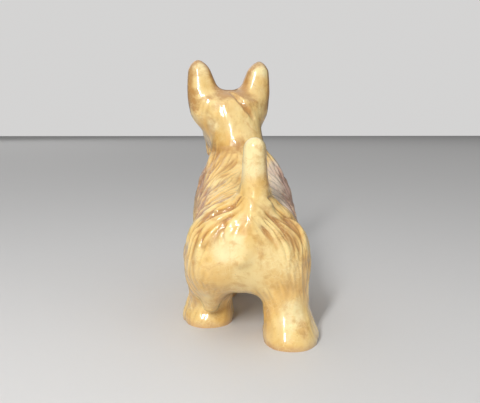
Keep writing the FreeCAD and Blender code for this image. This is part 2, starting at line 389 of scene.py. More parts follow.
def model_head(clay):
    """Skull, cheeks, muzzle, beard, brows, eyes, nose, mouth and ears."""
    clay.egg(head_point(0, 3.0, 92.0), (14.4, 15.0, 11.5), 6.0, HEAD_TURN)
    for side in (-1.0, 1.0):
        clay.egg(head_point(side * 7.8, 6.0, 86.0), (4.6, 8.5, 8.0), 5.0, HEAD_TURN)
    clay.rod(head_point(0, 8, 88.0), head_point(0, 27, 86.5), 9.6, 7.4, 5.0)
    clay.rod(head_point(0, 26, 87.0), head_point(0, 31.5, 86.8), 7.2, 5.4, 2.5)
    for side in (-1.0, 1.0):
        clay.rod(head_point(side * 4.6, 26, 84.0), head_point(side * 4.0, 29, 75.5), 5.2, 3.0, 3.5)
        clay.rod(head_point(side * 5.2, 17, 83.5), head_point(side * 5.6, 19, 73.5), 5.4, 3.2, 4.0)
        clay.rod(head_point(side * 5.0, 8, 82.0), head_point(side * 5.6, 10, 72.5), 5.6, 3.6, 5.0)
    clay.rod(head_point(0, 28, 82.0), head_point(0, 30, 72.5), 5.4, 2.4, 3.0)
    clay.rod(head_point(0, 10, 80.0), head_point(0, 28, 78.0), 6.0, 4.6, 4.0)
    for side in (-1.0, 1.0):
        clay.egg(head_point(side * 7.6, 17.0, 93.4), (3.8, 3.8, 3.0), 2.2, sense=-1.0)
        clay.egg(head_point(side * EYE[0], EYE[1], EYE[2]), (2.7, 2.9, 2.5), 0.4)
        clay.rod(head_point(side * 3.0, 15.6, 98.4), head_point(side * 9.6, 13.6, 96.8), 2.5, 2.0, 2.6)
    clay.egg(head_point(0, 35.2, 89.4), (4.3, 2.9, 3.3), 0.8, HEAD_TURN)
    for side in (-1.0, 1.0):
        clay.egg(head_point(side * 2.0, 37.7, 89.0), (1.0, 1.2, 0.8), 0.5, sense=-1.0)
        clay.rod(head_point(0, 37.2, 83.6), head_point(side * 7.4, 29.0, 82.6), 0.6, 0.6, 0.8, sense=-1.0)
    clay.rod(head_point(0, 38.2, 87.0), head_point(0, 37.0, 83.6), 0.5, 0.5, 0.6, sense=-1.0)
    for side in (-1.0, 1.0):
        clay.press(lambda x, y, z: ear_field(x, y, z, side), (-16, -54, 86), (32, -28, 122), 5.5)
        low, high = head_point(side * 14.0, 9.6, 98.0), head_point(side * 16.4, 7.0, 117.0)
        clay.rod(low, high, 6.2, 3.4, 1.6, sense=-1.0)
    for start, end in zip(EAR_FOLD, EAR_FOLD[1:]):
        clay.rod(head_point(*start), head_point(*end), 1.1, 1.1, 1.4, sense=-1.0)


def model_dog(clay):
    model_body(clay)
    for stand in LEGS.values():
        model_leg(clay, stand)
    model_head(clay)


# The coat: which way it is combed, how deep it is carved, and the grooves that follow

def ramp(value, low, high):
    """0 up to low, 1 from high, and smooth between."""
    t = np.clip((value - low) / (high - low), 0.0, 1.0)
    return t * t * (3.0 - 2.0 * t)


def combed(x, left, along, up):
    """One direction at every point, as far to the left, along and up as is given."""
    return np.stack([left + 0 * x, along + 0 * x, up + 0 * x], 1)


def steer(way, other, share):
    """Directions turned towards others where share is 1."""
    share = share[:, None]
    return way * (1 - share) + other * share


def comb(points):
    """Which way the coat is combed at points of the dog."""
    x, y, z = points[:, 0], points[:, 1], points[:, 2]
    across, behind = head_axes(x - HEAD_SIDE, y - HEAD_ALONG)
    c, s = math.cos(HEAD_TURN), math.sin(HEAD_TURN)
    side = np.tanh((x - 0.5) / 4.0)
    lean = np.tanh(across / 3.0)
    rump = combed(x, side * (0.25 + 1.5 * ramp(z, 40, 56)), 0.15, -0.9)
    down = combed(x, 0.1 * side, 0.12, -1.0)
    up = combed(x, 0.0, 0.0, 1.0)
    face = combed(x, lean * 0.5 * c + 0.2 * s, -0.2 * c + lean * 0.5 * s, -1.0)
    way = combed(x, 0.75 * side, 0.75, -0.65)
    way = steer(way, rump, ramp(y + 0.45 * (z - BODY_MIDDLE), 16.0, 32.0))
    way = steer(way, down, ramp(-z, -27.0, -17.0))
    way = steer(way, down, ramp(-y, 38.0, 50.0))
    way = steer(way, down, ramp(z, 72.0, 82.0) * ramp(-y, 8.0, 16.0))
    way = steer(way, face, ramp(-behind, 8.0, 16.0) * ramp(z, 64.0, 68.0))
    way = steer(way, up, ramp(z, 58.0, 63.0) * ramp(y, 20.0, 26.0))
    return steer(way, up, ramp(z, 104.0, 108.0))


def coat_depth(points, normals):
    """How deep the coat is carved at points: 0 where the clay was left smooth, 1 on the flanks."""
    x, y, z = points[:, 0], points[:, 1], points[:, 2]
    forward = -head_axes(x - HEAD_SIDE, y - HEAD_ALONG)[1]
    outward = np.abs(x - MIDDLE)
    depth = 1.0 + 0.2 * ramp(y, 22.0, 32.0) * ramp(z, 40.0, 50.0)
    depth *= 1 - 0.35 * ramp(z, 50.0, 60.0) * (1 - ramp(y, 18.0, 26.0)) * ramp(-outward, -16.0, -9.0)
    depth *= 1 - 0.6 * ramp(-z, -46.0, -32.0) * ramp(y, 20.0, 30.0)
    seat = np.sqrt(((x - 2.5) / 18.0) ** 2 + ((z - 34.0) / 13.5) ** 2)
    depth *= 1 - 0.95 * (1 - ramp(seat, 0.7, 1.2)) * ramp(y, 14.0, 26.0)
    ridge = np.abs(x - TAIL_OFFSET - 0.24 * np.maximum(60.0 - z, 0.0))
    depth *= 1 - 0.8 * (1 - ramp(ridge, 3.5, 7.0)) * ramp(y, 26.0, 32.0)
    behind = ramp(normals[:, 1], -0.2, 0.5) * ramp(-z, -24.0, -15.0)
    depth *= 1 - 0.75 * behind * (1 - 0.6 * ramp(outward, 20.0, 26.0))
    depth *= 1 - 0.6 * ramp(-z, -9.0, -3.0)
    nape = ramp(z, 70.0, 79.0) * ramp(-y, 8.0, 16.0) * (1 - ramp(forward, 4.0, 13.0))
    depth *= 1 - 0.85 * nape
    depth *= 1 - 0.9 * ramp(z, 98.0, 103.0)
    tail = ramp(z, 58.0, 66.0) * ramp(y, 16.0, 24.0)
    depth *= 1 - 0.9 * tail
    nose = ramp(forward, 31.0, 33.5) * ramp(z, 83.5, 86.0)
    depth *= 1 - nose
    depth *= 1 - 0.7 * ramp(forward, 22.0, 26.0) * ramp(z, 88.0, 90.0)
    for left in (-1.0, 1.0):
        eye = np.linalg.norm(points - np.array(head_point(left * 7.2, 15.0, 93.6), np.float32), axis=1)
        depth *= ramp(eye, 2.9, 4.2)
    depth *= 1 - 0.6 * ramp(-normals[:, 2], 0.75, 0.95)
    return depth


def noise_block(seed):
    """A block of random numbers that repeats every 64 samples each way."""
    return np.random.default_rng(seed).normal(size=(64, 64, 64)).astype(np.float32)


def noise_at(block, points, cell):
    """Smooth noise at points, from a block of random numbers one cell apart."""
    at = points / cell
    i = np.floor(at).astype(np.int32)
    t = (at - i).astype(np.float32)
    t = t * t * (3 - 2 * t)
    low, high = i & 63, (i + 1) & 63
    total = np.zeros(len(points), np.float32)
    for bits, share in eight_samples(t):
        place = tuple(high[:, axis] if bits[axis] else low[:, axis] for axis in range(3))
        total += share * block[place]
    return total


def combed_noise(clay, points, cell, reach, seed, wave):
    """Noise drawn out along the coat, so that its zero lines are grooves that run the way it is combed."""
    block = noise_block(seed)
    bend = noise_block(seed + 1)
    step = 0.45 * cell
    count = int(reach / step)
    total = noise_at(block, points, cell)
    weight = 1.0
    for sense in (-1.0, 1.0):
        at = points.copy()
        for i in range(count):
            out = clay.outwards(at)
            way = comb(at)
            way -= out * (way * out).sum(1, keepdims=True)
            way /= np.linalg.norm(way, axis=1, keepdims=True) + 1e-6
            aside = np.cross(out, way)
            turn = wave * noise_at(bend, at, 9.0)[:, None]
            way = way * np.cos(turn) + aside * np.sin(turn)
            at = at + sense * step * way
            at -= out * clay.sample(clay.field, at)[:, None]
            share = 0.5 + 0.5 * math.cos(math.pi * (i + 1) / (count + 1))
            total += share * noise_at(block, at, cell)
            if sense > 0:
                weight += 2.0 * share
    return total / total.std()


def smooth_mesh(points, quads, rounds, share):
    """Evens out points by moving each towards the middle of its neighbours."""
    edges = np.concatenate([quads[:, [0, 1]], quads[:, [1, 2]], quads[:, [2, 3]], quads[:, [3, 0]]])
    counts = np.bincount(edges.ravel(), minlength=len(points)).astype(np.float32)[:, None]
    for _ in range(rounds):
        total = np.zeros_like(points)
        for axis in range(3):
            total[:, axis] = (np.bincount(edges[:, 0], points[edges[:, 1], axis], len(points))
                              + np.bincount(edges[:, 1], points[edges[:, 0], axis], len(points)))
        points = points + share * (total / counts - points)
    return points


def mesh_of(name, points, quads, attributes=None):
    """A Blender mesh in metres of the CAD frame, from points in millimetres of the dog's frame."""
    mesh = bpy.data.meshes.new(name)
    mesh.vertices.add(len(points))
    placed = points * MM + np.array(ORIGIN, np.float32)
    mesh.vertices.foreach_set("co", placed.astype(np.float32).ravel())
    mesh.loops.add(quads.size)
    mesh.loops.foreach_set("vertex_index", quads.astype(np.int32).ravel())
    mesh.polygons.add(len(quads))
    mesh.polygons.foreach_set("loop_start", np.arange(0, quads.size, quads.shape[1], dtype=np.int32))
    mesh.update(calc_edges=True)
    for key, values in (attributes or {}).items():
        layer = mesh.attributes.new(key, "FLOAT", "POINT")
        layer.data.foreach_set("value", values.astype(np.float32))
    mesh.shade_smooth()
    return mesh


PAINTED_HIGHLIGHT_SPOTS = [  # place and size of painted highlights: pale spots on the left haunch, the right hind leg and the back of the head by the left ear
    ((9.0, 44.0, 42.0), 11.0),
    ((-17.0, 45.0, 14.0), 9.0),
    ((15.0, -30.0, 88.0), 6.0),
]


def paint_masks(points, normals):
    """Where colour goes on: the sprayed flanks and beard; brown rims and folds, with painted shade on the
    head's sideways edges and the tail's right side; painted shade on the right flank; paler ear tips and tail
    top, and painted highlights.
    """
    x, y, z = points[:, 0], points[:, 1], points[:, 2]
    forward = -head_axes(x - HEAD_SIDE, y - HEAD_ALONG)[1]
    faces = np.abs(head_axes(normals[:, 0], normals[:, 1])[1])
    outward = np.abs(x - MIDDLE)
    below_back = 1 - ramp(z, 66.0, 74.0)
    flank = ramp(outward, 13.0, 21.0) * ramp(z, 38.0, 50.0) * below_back * (1 - ramp(y, 22.0, 36.0))
    beard = ramp(forward, 6.0, 16.0) * ramp(z, 60.0, 66.0) * (1 - ramp(z, 84.0, 92.0))
    # brown on the head's sideways faces above the eyes, at the ears' rims and crown: partly their own brown,
    # partly painted shade at these edges
    rims_and_shade = ramp(z, 92.0, 100.0) * (1 - ramp(faces, 0.5, 0.97))
    for start, end in zip(EAR_FOLD, EAR_FOLD[1:]):
        crease = rod(x, y, z, head_point(*start), head_point(*end), 0.5, 0.5)
        rims_and_shade = np.maximum(rims_and_shade, 1 - ramp(crease, 0.1, 1.5))
    # painted shade on the tail's right side, the side away from the key lamp
    rims_and_shade = np.maximum(rims_and_shade, 0.6 * ramp(z, 62.0, 70.0) * ramp(y, 20.0, 26.0) * ramp(-normals[:, 0], 0.45, 0.9))
    fold = np.abs(z - 77.5 + 0.12 * np.abs(x - 2.0)) + 40.0 * (1 - ramp(-y, 8.0, 14.0))
    rims_and_shade = np.maximum(rims_and_shade, 0.45 * (1 - ramp(fold, 0.5, 5.0)) * (1 - ramp(forward, 2.0, 8.0)))
    # paler towards the ear tips and on the tail's top, and painted highlights at the spots listed above
    pale_and_highlight = np.maximum(ramp(z, 108.0, 118.0), ramp(z, 61.0, 74.0) * ramp(y, 20.0, 26.0))
    for place, size in PAINTED_HIGHLIGHT_SPOTS:
        away = np.linalg.norm(points - np.array(place, np.float32), axis=1)
        pale_and_highlight = np.maximum(pale_and_highlight, 0.8 * (1 - ramp(away, 0.35 * size, size)))
    # painted shade: a grey cast on the right flank, the side away from the key lamp
    right_side_shade = ramp(-x, 7.0, 15.0) * ramp(z, 36.0, 46.0) * below_back * (1 - ramp(y, 20.0, 32.0))
    return {"spray": np.maximum(flank, 0.75 * beard), "right_side_shade": right_side_shade, "rims_and_shade": rims_and_shade, "pale_and_highlight": pale_and_highlight}


def coated_dog(cell):
    """The whole dog's surface, with its coat and its colouring as attributes."""
    clay = Clay((-34, -84, -4), (38, 56, 124), cell)
    model_dog(clay)
    points, quads = clay.surface()
    points = smooth_mesh(points, quads, 2, 0.5)
    normals = clay.outwards(points)
    rump = ramp(points[:, 1], 22.0, 31.0)
    long_locks = combed_noise(clay, points, 2.0, 15.0, SEED, 0.35)
    short_locks = combed_noise(clay, points, 1.9, 10.0, SEED + 21, 0.3)
    look = {
        "coat": coat_depth(points, normals),
        "locks": long_locks * (1 - rump) + short_locks * rump,
        "strands": combed_noise(clay, points, 1.3, 8.0, SEED + 10, 0.3),
    }
    look.update(paint_masks(points, normals))
    mesh = mesh_of("dog", points, quads, look)
    skin = mesh.attributes.new("skin", "INT", "FACE")
    skin.data.foreach_set("value", np.ones(len(mesh.polygons), np.int32))
    return mesh


# Castings: the coated surface, hollowed and cut

NECK_JOINT = (0.0, -34.0, 74.0)
NECK_TILT = math.radians(20.0)
EAR_JOINT_HEIGHT = 104.0
EAR_INNER_SIDE = 6.0
EAR_TILT = math.radians(33.0)
TAIL_JOINT_HEIGHT = 59.6
LOIN_ALONG = 23.0
LEG_JOINT_HEIGHT = 16.0
DRAIN_RADIUS = 4.5
DRAIN_ALONG = -4.0
SKULL_HOLLOW_TOP = 101.0
CAVITY_CELL = 1.3
FAR = 200.0
EAR_ROOM = 60.0             # reach of the space that holds an ear
LEG_GAP = -8.0              # between the fore legs and the hind legs, along the dog
BOX_FACES = np.array([[0, 1, 3, 2], [4, 6, 7, 5], [0, 4, 5, 1], [2, 3, 7, 6], [0, 2, 6, 4], [1, 5, 7, 3]])


def read(items, key, width=1, kind=np.float32):
    """One number, or a row of them, for each item of a mesh."""
    values = np.zeros(len(items) * width, kind)
    items.foreach_get(key, values)
    return values.reshape(-1, width) if width > 1 else values


def made_plain(piece, name):
    """The evaluated mesh of a piece, and the piece removed."""
    graph = bpy.context.evaluated_depsgraph_get()
    mesh = bpy.data.meshes.new_from_object(piece.evaluated_get(graph))
    mesh.name = name
    bpy.data.objects.remove(piece)
    return mesh


def linked(name, mesh):
    piece = bpy.data.objects.new(name, mesh)
    bpy.context.scene.collection.objects.link(piece)
    return piece


def box_corners(low, high):
    xs, ys, zs = zip(low, high)
    return np.array([[x, y, z] for x in xs for y in ys for z in zs], float)


def slab_mesh(point, normal, thickness):
    """A box whose large face lies on a plane, on the side that normal points to; the plane is in dog's mm."""
    corners = box_corners((-FAR, -FAR, 0.0), (FAR, FAR, thickness))
    turn = np.array(Vector(normal).to_track_quat("Z", "Y").to_matrix())
    return mesh_of("slab", (corners @ turn.T + np.array(point)).astype(np.float32), BOX_FACES)


def box_mesh(low, high):
    """A box between two corners, in the dog's millimetres."""
    return mesh_of("box", box_corners(low, high).astype(np.float32), BOX_FACES)


def cut(mesh, name, steps):
    """A mesh after a list of (operation, cutting mesh)."""
    piece = linked(name, mesh)
    tools = []
    for operation, tool in steps:
        cutter = linked(name + "_cutter", tool)
        tools.append(cutter)
        modifier = piece.modifiers.new(operation, "BOOLEAN")
        modifier.operation = operation
        modifier.solver = "MANIFOLD"
        modifier.object = cutter
    result = made_plain(piece, name)
    for cutter in tools:
        bpy.data.objects.remove(cutter)
    return result


def cavity_mesh():
    """The hollow inside the castings, with the drain hole."""
    clay = Clay((-34, -84, -3), (38, 56, 124), CAVITY_CELL)
    model_dog(clay)
    x, y, z = clay.axes[0][:, None, None], clay.axes[1][None, :, None], clay.axes[2][None, None, :]
    hollow = np.maximum(clay.field + WALL, SOLE - z)
    hollow = np.maximum(hollow, z - SKULL_HOLLOW_TOP)
    hollow = np.maximum(hollow, np.minimum(z - TAIL_JOINT_HEIGHT + WALL, y - LOIN_ALONG))
    drain = np.sqrt(x * x + (y - DRAIN_ALONG) ** 2) - DRAIN_RADIUS
    drain = np.maximum(np.maximum(drain, z - BODY_MIDDLE), 8.0 - z)
    clay.field = np.minimum(hollow, drain)
    points, quads = clay.surface()
    return mesh_of("cavity", smooth_mesh(points, quads, 3, 0.5), quads)


RIDGE_TOP, RIDGE_POWER, RIDGE_MIDDLE = 1.6, 0.85, 0.75
TOOL_MARK_SCALE = 160.0        # marks in a metre


def relief_tree(settings):
    """Geometry nodes that press the combed coat into a casting and give it its glaze."""
    tree = bpy.data.node_groups.new("coat_relief", "GeometryNodeTree")
    tree.interface.new_socket("Geometry", in_out="INPUT", socket_type="NodeSocketGeometry")
    inputs = (("Lock depth", settings.lock_depth), ("Strand depth", settings.strand_depth),
              ("Tool marks", settings.tool_marks))
    for label, value in inputs:
        socket = tree.interface.new_socket(label, in_out="INPUT", socket_type="NodeSocketFloat")
        socket.default_value = value
    tree.interface.new_socket("Glaze", in_out="INPUT", socket_type="NodeSocketMaterial")
    tree.interface.new_socket("Geometry", in_out="OUTPUT", socket_type="NodeSocketGeometry")
    nodes, links = tree.nodes, tree.links
    start, end = nodes.new("NodeGroupInput"), nodes.new("NodeGroupOutput")

    def attribute(key):
        node = nodes.new("GeometryNodeInputNamedAttribute")
        node.data_type = "FLOAT"
        node.inputs["Name"].default_value = key
        return node.outputs["Attribute"]

    def maths(operation, first, second=None):
        node = nodes.new("ShaderNodeMath")
        node.operation = operation
        for slot, value in zip(node.inputs, (first, second)):
            if isinstance(value, (int, float)):
                slot.default_value = value
            elif value is not None:
                links.new(value, slot)
        return node.outputs[0]

    def ridges(noise):
        """Round ridges with sharp grooves between them, about 0."""
        size = maths("MINIMUM", maths("ABSOLUTE", noise), RIDGE_TOP)
        return maths("SUBTRACT", maths("POWER", size, RIDGE_POWER), RIDGE_MIDDLE)

    locks = maths("MULTIPLY", ridges(attribute("locks")), start.outputs["Lock depth"])
    strands = maths("MULTIPLY", ridges(attribute("strands")), start.outputs["Strand depth"])
    carved = maths("MULTIPLY", maths("ADD", locks, strands), attribute("coat"))
    wobble = nodes.new("ShaderNodeTexNoise")
    wobble.inputs["Scale"].default_value = TOOL_MARK_SCALE
    wobble.inputs["Detail"].default_value = 1.5
    pressed = maths("MULTIPLY", maths("SUBTRACT", wobble.outputs["Fac"], 0.5), start.outputs["Tool marks"])
    height = maths("MULTIPLY", maths("ADD", carved, pressed), MM)
    scaled = nodes.new("ShaderNodeVectorMath")
    scaled.operation = "SCALE"
    links.new(nodes.new("GeometryNodeInputNormal").outputs["Normal"], scaled.inputs[0])
    links.new(height, scaled.inputs["Scale"])
    move = nodes.new("GeometryNodeSetPosition")
    links.new(start.outputs["Geometry"], move.inputs["Geometry"])
    links.new(scaled.outputs["Vector"], move.inputs["Offset"])
    groove = nodes.new("GeometryNodeStoreNamedAttribute")
    groove.data_type = "FLOAT"
    groove.domain = "POINT"
    groove.inputs["Name"].default_value = "height"
    links.new(move.outputs["Geometry"], groove.inputs["Geometry"])
    links.new(carved, groove.inputs["Value"])
    real = nodes.new("GeometryNodeRealizeInstances")
    links.new(groove.outputs["Geometry"], real.inputs["Geometry"])
    glaze = nodes.new("GeometryNodeSetMaterial")
    links.new(real.outputs["Geometry"], glaze.inputs["Geometry"])
    links.new(start.outputs["Glaze"], glaze.inputs["Material"])
    links.new(glaze.outputs["Geometry"], end.inputs["Geometry"])
    return tree


def socket_id(tree, label):
    for item in tree.interface.items_tree:
        if item.item_type == "SOCKET" and item.in_out == "INPUT" and item.name == label:
            return item.identifier
    raise ValueError(f"the node tree has no input called {label}")


class Workshop:
    """What the operators share, made once: the hollow dog, its nearest points, the glaze and the clay."""

    made = {}

    @classmethod
    def get(cls, key, maker):
        if key not in cls.made:
            cls.made[key] = maker()
        return cls.made[key]


def hollow_dog():
    """The whole dog coated, carved and hollow, with the way its surface faces kept as an attribute."""
    settings = bpy.context.scene.terrier_coat
    tree = relief_tree(settings)
    piece = linked("dog", coated_dog(settings.fineness * (1.0)))
    modifier = piece.modifiers.new("coat_relief", "NODES")
    modifier.node_group = tree
    modifier[socket_id(tree, "Glaze")] = Workshop.get("glaze", honey_glaze)
    carved = made_plain(piece, "dog")
    facing = carved.attributes.new("facing", "FLOAT_VECTOR", "POINT")
    facing.data.foreach_set("vector", read(carved.vertex_normals, "vector", 3).ravel())
    return cut(carved, "dog", [("DIFFERENCE", cavity_mesh())])


EAR_SIDES = {"ear_left": 1.0, "ear_right": -1.0}
BRANCHES = ["head_casting", "ear_left", "ear_right", "tail", *LEGS]


def ear_room(side, start, end):
    """The space over one half of the head, between two distances past the ear's joint."""
    lean = math.tan(EAR_TILT)
    middle = EAR_JOINT_HEIGHT + EAR_INNER_SIDE * lean
    points = []
    for across in (0.0, EAR_ROOM):
        for forward in (-EAR_ROOM, EAR_ROOM):
            for lift in (start, end):
                height = middle - across * lean + lift / math.cos(EAR_TILT)
                points.append(head_point(side * across, forward, height))
    return mesh_of("ear_room", np.array(points, np.float32), BOX_FACES if side < 0 else BOX_FACES[:, ::-1])


def room(name, start, end):
    """The space between two distances past a casting's joint, away from the casting that it leaves."""
    if name == "head_casting":
        way = Vector((0.0, -math.sin(NECK_TILT), math.cos(NECK_TILT)))
        return slab_mesh(Vector(NECK_JOINT) + way * start, way, end - start)
    if name == "tail":
        return box_mesh((-FAR, LOIN_ALONG, TAIL_JOINT_HEIGHT + start), (FAR, FAR, TAIL_JOINT_HEIGHT + end))
    if name in EAR_SIDES:
        return ear_room(EAR_SIDES[name], start, end)
    foot = LEGS[name]["foot"]
    across = (0.0, FAR) if foot[0] > 0 else (-FAR, 0.0)
    along = (LEG_GAP, FAR) if foot[1] > LEG_GAP else (-FAR, LEG_GAP)
    top = LEG_JOINT_HEIGHT - start
    return box_mesh((across[0], along[0], max(LEG_JOINT_HEIGHT - end, 0.0)), (across[1], along[1], top))


KEPT = ["height", "spray", "right_side_shade", "rims_and_shade", "pale_and_highlight"]


def mend(mesh):
    """Gives points made by a cut the look of the skin nearest to them."""
    whole = Workshop.made["hollow_dog"]
    tree = Workshop.get("nearest", lambda: nearest_skin(whole))
    facing = read(mesh.attributes["facing"].data, "vector", 3)
    lost = np.flatnonzero(np.abs(facing).sum(1) < 0.5)
    if not len(lost):
        return facing
    source = read(whole.attributes["facing"].data, "vector", 3)
    found = []
    for i in lost:
        near = tree.find_n(mesh.vertices[i].co, 3)
        weights = np.array([1.0 / (n[2] + 1e-6) for n in near])
        found.append(([n[1] for n in near], weights / weights.sum()))
    places = np.array([f[0] for f in found])
    weights = np.array([f[1] for f in found])
    facing[lost] = (source[places] * weights[:, :, None]).sum(1)
    for key in KEPT:
        values = read(mesh.attributes[key].data, "value")
        from_values = read(whole.attributes[key].data, "value")
        values[lost] = (from_values[places] * weights).sum(1)
        mesh.attributes[key].data.foreach_set("value", values)
    return facing


def nearest_skin(mesh):
    skin = np.flatnonzero(np.abs(read(mesh.attributes["facing"].data, "vector", 3)).sum(1) > 0.5)
    tree = KDTree(len(skin))
    for i in skin:
        tree.insert(mesh.vertices[i].co, i)
    tree.balance()
    return tree


def piece_of_dog(name, keep, leave_out=()):
    """The hollow dog inside one space and outside others."""
    steps = [("INTERSECT", keep)] if keep else []
    steps += [("DIFFERENCE", tool) for tool in leave_out]
    return cut(Workshop.get("hollow_dog", hollow_dog).copy(), name, steps)


def finish_piece(name, mesh, node):
    """Puts a finished mesh in the scene in place of its CAD node, with bare clay where it has no glaze."""
    bare = read(mesh.attributes["skin"].data, "value", kind=np.int32) == 0
    facing = mend(mesh)
    corners = read(mesh.loops, "vertex_index", kind=np.int32)
    sizes = read(mesh.polygons, "loop_total", kind=np.int32)
    flat = read(mesh.polygons, "normal", 3)
    normals = np.where(np.repeat(bare, sizes)[:, None], np.repeat(flat, sizes, axis=0), facing[corners])
    mesh.materials.clear()
    mesh.materials.append(Workshop.get("glaze", honey_glaze))
    if bare.any():
        mesh.materials.append(Workshop.get("clay", bare_clay))
    mesh.polygons.foreach_set("material_index", bare.astype(np.int32))
    mesh.normals_split_custom_set(normals)
    mesh.update()
    piece = linked(name, mesh)
    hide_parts(node)
    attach(piece, "root")


# Glazes and clay

CRACK_WIDTH = 0.045            # of the crazing, as a share of a cell
DAMP_CLAY = (0.62, 0.50, 0.36, 1.0)
DRY_CLAY = (0.84, 0.76, 0.62, 1.0)


def shade_tree(name, inputs, outputs):
    """An empty shader group with its inputs and outputs made."""
    tree = bpy.data.node_groups.new(name, "ShaderNodeTree")
    for label, kind, value in inputs:
        socket = tree.interface.new_socket(label, in_out="INPUT", socket_type="NodeSocket" + kind)
        socket.default_value = value
    for label, kind in outputs:
        tree.interface.new_socket(label, in_out="OUTPUT", socket_type="NodeSocket" + kind)
    return tree


class Shade:
    """Short ways to add nodes to a shader tree."""

    def __init__(self, tree):
        self.nodes, self.links = tree.nodes, tree.links

    def put(self, socket, value):
        if isinstance(value, bpy.types.NodeSocket):
            self.links.new(value, socket)
        elif value is not None:
            socket.default_value = value

    def maths(self, operation, first, second=None, third=None):
        node = self.nodes.new("ShaderNodeMath")
        node.operation = operation
        for slot, value in zip(node.inputs, (first, second, third)):
            self.put(slot, value)
        return node.outputs[0]

    def between(self, value, low, high, first=0.0, last=1.0):
        """A smooth step from first at low to last at high."""
        node = self.nodes.new("ShaderNodeMapRange")
        node.interpolation_type = "SMOOTHSTEP"
        for label, number in (("Value", value), ("From Min", low), ("From Max", high),
                              ("To Min", first), ("To Max", last)):
            self.put(node.inputs[label], number)
        return node.outputs["Result"]

    def mix(self, share, first, second):
        node = self.nodes.new("ShaderNodeMix")
        node.data_type = "RGBA"
        self.put(node.inputs["Factor"], share)
        self.put(node.inputs["A"], first)
        self.put(node.inputs["B"], second)
        return node.outputs["Result"]

    def cover(self, colour, paint, mask, strength=1.0):
        """A colour with paint over it where a mask is 1."""
        return self.mix(self.maths("MULTIPLY", mask, strength), colour, tuple(paint))

    def vector(self, operation, *values):
        node = self.nodes.new("ShaderNodeVectorMath")
        node.operation = operation
        for slot, value in zip(node.inputs, values):
            self.put(slot, value)
        return node

    def bump(self, height, strength, distance):
        node = self.nodes.new("ShaderNodeBump")
        node.inputs["Strength"].default_value = strength
        node.inputs["Distance"].default_value = distance
        self.put(node.inputs["Height"], height)
        return node.outputs["Normal"]

    def noise(self, place, scale, detail=2.0, roughness=0.5, distortion=0.0):
        node = self.nodes.new("ShaderNodeTexNoise")
        self.put(node.inputs["Vector"], place)
        node.inputs["Scale"].default_value = scale
        node.inputs["Detail"].default_value = detail
        node.inputs["Roughness"].default_value = roughness
        node.inputs["Distortion"].default_value = distortion
        return node.outputs["Fac"]

    def attribute(self, key):
        node = self.nodes.new("ShaderNodeAttribute")
        node.attribute_name = key
        return node.outputs["Fac"]

    def millimetres(self):
        """Object coordinates in millimetres."""
        node = self.vector("SCALE", self.nodes.new("ShaderNodeTexCoord").outputs["Object"])
        node.inputs["Scale"].default_value = 1.0 / MM
        return node.outputs["Vector"]


def crazing_group():
    """Fine cracks in a glaze: 1 on a crack, 0 between, at a cell size in millimetres."""
    tree = shade_tree("crazing", (("Place", "Vector", (0, 0, 0)), ("Cell size", "Float", 2.6),
                                  ("Width", "Float", 0.05)), (("Crack", "Float"),))
    shade = Shade(tree)
    start, end = tree.nodes.new("NodeGroupInput"), tree.nodes.new("NodeGroupOutput")
    warp = tree.nodes.new("ShaderNodeTexNoise")
    tree.links.new(start.outputs["Place"], warp.inputs["Vector"])
    warp.inputs["Scale"].default_value = 0.45
    warp.inputs["Detail"].default_value = 2.0
    bent = shade.vector("MULTIPLY_ADD", warp.outputs["Color"], (1.6, 1.6, 1.6), start.outputs["Place"])
    cells = tree.nodes.new("ShaderNodeTexVoronoi")
    cells.feature = "DISTANCE_TO_EDGE"
    tree.links.new(bent.outputs["Vector"], cells.inputs["Vector"])
    shade.put(cells.inputs["Scale"], shade.maths("DIVIDE", 1.0, start.outputs["Cell size"]))
    crack = shade.between(cells.outputs["Distance"], 0.0, start.outputs["Width"], 1.0, 0.0)
    tree.links.new(crack, end.inputs["Crack"])
    return tree


def use_group(shade, tree, **values):
    node = shade.nodes.new("ShaderNodeGroup")
    node.node_tree = tree
    for label, value in values.items():
        shade.put(node.inputs[label.replace("_", " ")], value)
    return node


def painted_egg(shade, place, centre, radii):
    """A mask that is 1 inside an egg of paint, given in the dog's millimetres."""
    offset = shade.vector("SUBTRACT", place, [centre[i] + ORIGIN[i] / MM for i in range(3)])
    turned = shade.nodes.new("ShaderNodeVectorRotate")
    turned.rotation_type = "Z_AXIS"
    shade.put(turned.inputs["Vector"], offset.outputs["Vector"])
    turned.inputs["Angle"].default_value = -HEAD_TURN
    scaled = shade.vector("DIVIDE", turned.outputs["Vector"], radii)
    length = shade.vector("LENGTH", scaled.outputs["Vector"])
    return shade.between(length.outputs["Value"], 0.97, 1.03, 1.0, 0.0)


def new_material(name):
    """A material, its shader and the short ways to add to it."""
    material = bpy.data.materials.new(name)
    material.use_nodes = True
    return material, material.node_tree.nodes["Principled BSDF"], Shade(material.node_tree)


def glaze_clouds(shade, colours, place, patch):
    """Honey and cream, paler on the ear tips, the tail's top and the ridges, with painted highlights, warm
    patches and flecks.
    """
    height = shade.attribute("height")
    cloud = shade.noise(place, 0.055, 3.0, 0.55)
    colour = shade.mix(shade.between(cloud, 0.36, 0.66), tuple(colours.honey), tuple(colours.cream))
    # the pale mask carries the painted highlights as well as the paler tips
    pale = shade.between(shade.maths("MULTIPLY_ADD", cloud, 0.8, shade.attribute("pale_and_highlight")), 0.55, 1.4)
    colour = shade.cover(colour, colours.pale, pale, 0.85)
    colour = shade.cover(colour, colours.cream, shade.between(height, 0.0, 0.5), 0.5)
    colour = shade.cover(colour, colours.caramel, shade.between(height, -0.6, 0.1, 1.0, 0.0), 0.9)
    colour = shade.cover(colour, colours.amber, shade.between(patch, 0.48, 0.70), 0.4)
    smear = shade.between(shade.noise(place, 0.33, 3.0, 0.6, 1.2), 0.50, 0.68)
    colour = shade.cover(colour, colours.amber, smear, 0.22)
    fleck = shade.between(shade.noise(place, 0.7, 3.0, 0.65), 0.60, 0.78)
    return shade.cover(colour, colours.amber, fleck, 0.22)


